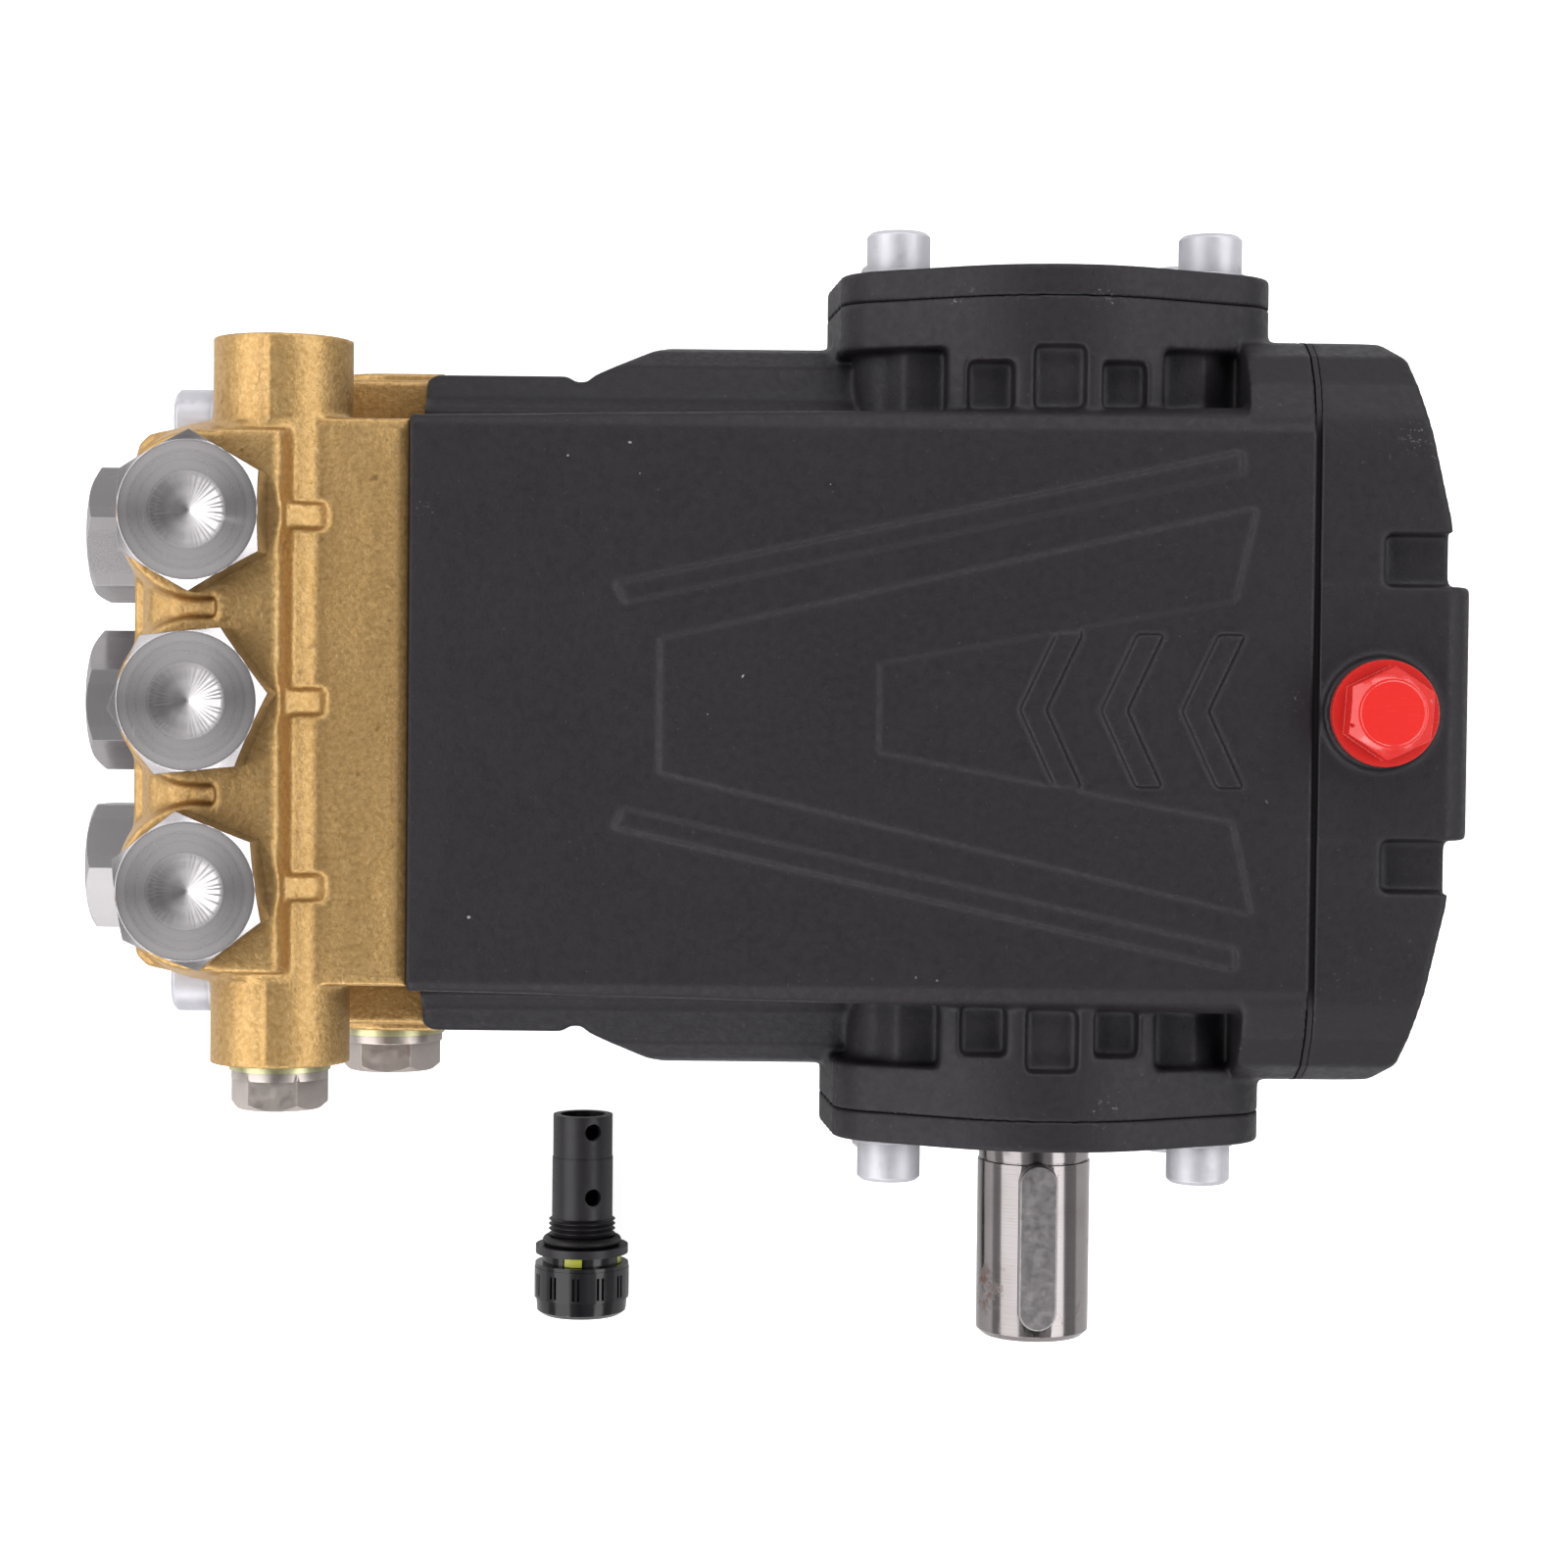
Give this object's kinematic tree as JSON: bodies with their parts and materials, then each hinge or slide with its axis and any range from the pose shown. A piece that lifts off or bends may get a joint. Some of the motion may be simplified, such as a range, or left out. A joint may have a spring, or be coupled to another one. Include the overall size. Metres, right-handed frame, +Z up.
{
  "type": "pressure washer pump",
  "caption": "Triplex plunger pump with cast brass manifold, black crankcase, keyed drive shaft, valve caps and internal crank, rods, plungers, seals and poppet valves.",
  "frame": {"origin": "middle of the four foot holes, on the base plane", "axes": "+X towards the rear cover and away from the manifold, -Y along the keyed drive shaft to its free end, +Z up to the delivery valve caps"},
  "size_m": [0.2927, 0.2411, 0.14],
  "materials": {
    "black_casting": "matt powder coat over a die casting",
    "cast_brass": "sand cast and blasted",
    "turned_brass": "turned",
    "bearing_bronze": "machined bronze",
    "rod_alloy": "as cast with machined bores",
    "turned_stainless": "turned stainless",
    "spring_steel": "drawn wire",
    "cage_plastic": "moulded",
    "ceramic": "ground and polished",
    "zinc_steel": "bright zinc plated",
    "nickel_brass": "nickel plated",
    "plated_washer": "passivated",
    "clear_glass": "clear",
    "ground_steel": "ground",
    "red_plastic": "moulded",
    "grey_plastic": "moulded",
    "black_plastic": "moulded",
    "fabric_seal": "rubber-impregnated fabric",
    "black_rubber": "nitrile rubber"
  },
  "bodies": {
    "pump_body": {"crankcase": "black_casting", "rear_cover": "black_casting", "rear_cover_gasket": "black_rubber", "rear_cover_screws": "zinc_steel", "drive_side_bearing_cover": "black_casting", "blind_side_bearing_cover": "black_casting", "bearing_cover_o_rings": "black_rubber", "bearing_cover_screws": "zinc_steel", "screw_washers": "zinc_steel", "shaft_oil_seal": "black_rubber", "bearing_outer_races": "ground_steel", "manifold": "cast_brass", "manifold_screws": "zinc_steel", "delivery_valve_caps": "turned_stainless", "suction_valve_caps": "turned_stainless", "valve_cap_o_rings": "black_rubber", "valve_seats": "turned_stainless", "valve_cages": "cage_plastic", "high_pressure_seals": "fabric_seal", "low_pressure_seals": "black_rubber", "seal_carriers": "turned_brass", "crosshead_oil_seals": "black_rubber", "delivery_port_plug": "nickel_brass", "suction_port_plug": "nickel_brass", "plug_washers": "plated_washer", "oil_drain_plug": "nickel_brass", "sight_glass": "clear_glass", "delivery_valve_springs": "spring_steel", "suction_valve_springs": "spring_steel"},
    "crankshaft_assembly": {"crankshaft": "ground_steel", "shaft_key": "ground_steel", "bearing_inner_races": "ground_steel"},
    "roller_sets": {"bearing_rollers": "ground_steel", "bearing_cages": "bearing_bronze"},
    "oil_filler_plug": {"filler_plug": "red_plastic", "filler_plug_o_ring": "black_rubber"},
    "vented_breather_plug": {"breather_body": "grey_plastic", "breather_o_ring": "black_rubber", "breather_cap": "black_plastic"},
    "eccentric_bush_1": {"crank_bush_1": "bearing_bronze"},
    "plunger_set_1": {"con_rod_1": "rod_alloy", "wrist_pin_1": "ground_steel", "crosshead_1": "turned_stainless", "plunger_1": "ceramic"},
    "delivery_poppet_1": {"delivery_valve_1": "turned_stainless"},
    "suction_poppet_1": {"suction_valve_1": "turned_stainless"},
    "eccentric_bush_2": {"crank_bush_2": "bearing_bronze"},
    "plunger_set_2": {"con_rod_2": "rod_alloy", "wrist_pin_2": "ground_steel", "crosshead_2": "turned_stainless", "plunger_2": "ceramic"},
    "delivery_poppet_2": {"delivery_valve_2": "turned_stainless"},
    "suction_poppet_2": {"suction_valve_2": "turned_stainless"},
    "eccentric_bush_3": {"crank_bush_3": "bearing_bronze"},
    "plunger_set_3": {"con_rod_3": "rod_alloy", "wrist_pin_3": "ground_steel", "crosshead_3": "turned_stainless", "plunger_3": "ceramic"},
    "delivery_poppet_3": {"delivery_valve_3": "turned_stainless"},
    "suction_poppet_3": {"suction_valve_3": "turned_stainless"}
  },
  "joints": [
    {"name": "crank_spin", "type": "hinge", "parent": "pump_body", "child": "crankshaft_assembly", "pos_m": [0.025, 0, 0.075], "axis": [0, 1, 0], "continuous": true},
    {"name": "roller_orbit", "type": "hinge", "parent": "pump_body", "child": "roller_sets", "pos_m": [0.025, 0, 0.075], "axis": [0, 1, 0], "continuous": true},
    {"name": "bush_turn_1", "type": "hinge", "parent": "crankshaft_assembly", "child": "eccentric_bush_1", "pos_m": [0.028, 0.03666, 0.075], "axis": [0, 1, 0], "continuous": true},
    {"name": "plunger_stroke_1", "type": "hinge", "parent": "eccentric_bush_1", "child": "plunger_set_1", "pos_m": [0.031, 0.03666, 0.075], "axis": [0, 1, 0], "continuous": true},
    {"name": "bush_turn_2", "type": "hinge", "parent": "crankshaft_assembly", "child": "eccentric_bush_2", "pos_m": [0.0235, 0, 0.0776], "axis": [0, 1, 0], "continuous": true},
    {"name": "plunger_stroke_2", "type": "hinge", "parent": "eccentric_bush_2", "child": "plunger_set_2", "pos_m": [0.022, 0, 0.075], "axis": [0, 1, 0], "continuous": true},
    {"name": "bush_turn_3", "type": "hinge", "parent": "crankshaft_assembly", "child": "eccentric_bush_3", "pos_m": [0.0235, -0.03666, 0.0724], "axis": [0, 1, 0], "continuous": true},
    {"name": "plunger_stroke_3", "type": "hinge", "parent": "eccentric_bush_3", "child": "plunger_set_3", "pos_m": [0.022, -0.03666, 0.075], "axis": [0, 1, 0], "continuous": true},
    {"name": "delivery_lift_1", "type": "slide", "parent": "pump_body", "child": "delivery_poppet_1", "axis": [0, 0, 1], "range_m": [0, 0.0025], "stiffness_N_per_m": 900, "springref_m": -0.001, "deforming": ["delivery_valve_springs"]},
    {"name": "suction_lift_1", "type": "slide", "parent": "pump_body", "child": "suction_poppet_1", "axis": [-1, 0, 0], "range_m": [0, 0.0025], "stiffness_N_per_m": 900, "springref_m": -0.001, "deforming": ["suction_valve_springs"]},
    {"name": "delivery_lift_2", "type": "slide", "parent": "pump_body", "child": "delivery_poppet_2", "axis": [0, 0, 1], "range_m": [0, 0.0025], "stiffness_N_per_m": 900, "springref_m": -0.001, "deforming": ["delivery_valve_springs"]},
    {"name": "suction_lift_2", "type": "slide", "parent": "pump_body", "child": "suction_poppet_2", "axis": [-1, 0, 0], "range_m": [0, 0.0025], "stiffness_N_per_m": 900, "springref_m": -0.001, "deforming": ["suction_valve_springs"]},
    {"name": "delivery_lift_3", "type": "slide", "parent": "pump_body", "child": "delivery_poppet_3", "axis": [0, 0, 1], "range_m": [0, 0.0025], "stiffness_N_per_m": 900, "springref_m": -0.001, "deforming": ["delivery_valve_springs"]},
    {"name": "suction_lift_3", "type": "slide", "parent": "pump_body", "child": "suction_poppet_3", "axis": [-1, 0, 0], "range_m": [0, 0.0025], "stiffness_N_per_m": 900, "springref_m": -0.001, "deforming": ["suction_valve_springs"]},
    {"name": "filler_plug_lift", "type": "slide", "parent": "pump_body", "child": "oil_filler_plug", "axis": [0, 0, 1], "range_m": [0, 0.03]},
    {"name": "breather_lift", "type": "slide", "parent": "pump_body", "child": "vented_breather_plug", "axis": [0, 0, 1], "range_m": [0, 0.03]}
  ],
  "couplings": [
    {"joint": "roller_orbit", "follows": "crank_spin", "ratio": 0.4231},
    {"joint": "bush_turn_1", "follows": "crank_spin", "ratio": -2},
    {"joint": "plunger_stroke_1", "follows": "crank_spin", "ratio": 1},
    {"joint": "bush_turn_2", "follows": "crank_spin", "ratio": -2},
    {"joint": "plunger_stroke_2", "follows": "crank_spin", "ratio": 1},
    {"joint": "bush_turn_3", "follows": "crank_spin", "ratio": -2},
    {"joint": "plunger_stroke_3", "follows": "crank_spin", "ratio": 1}
  ]
}
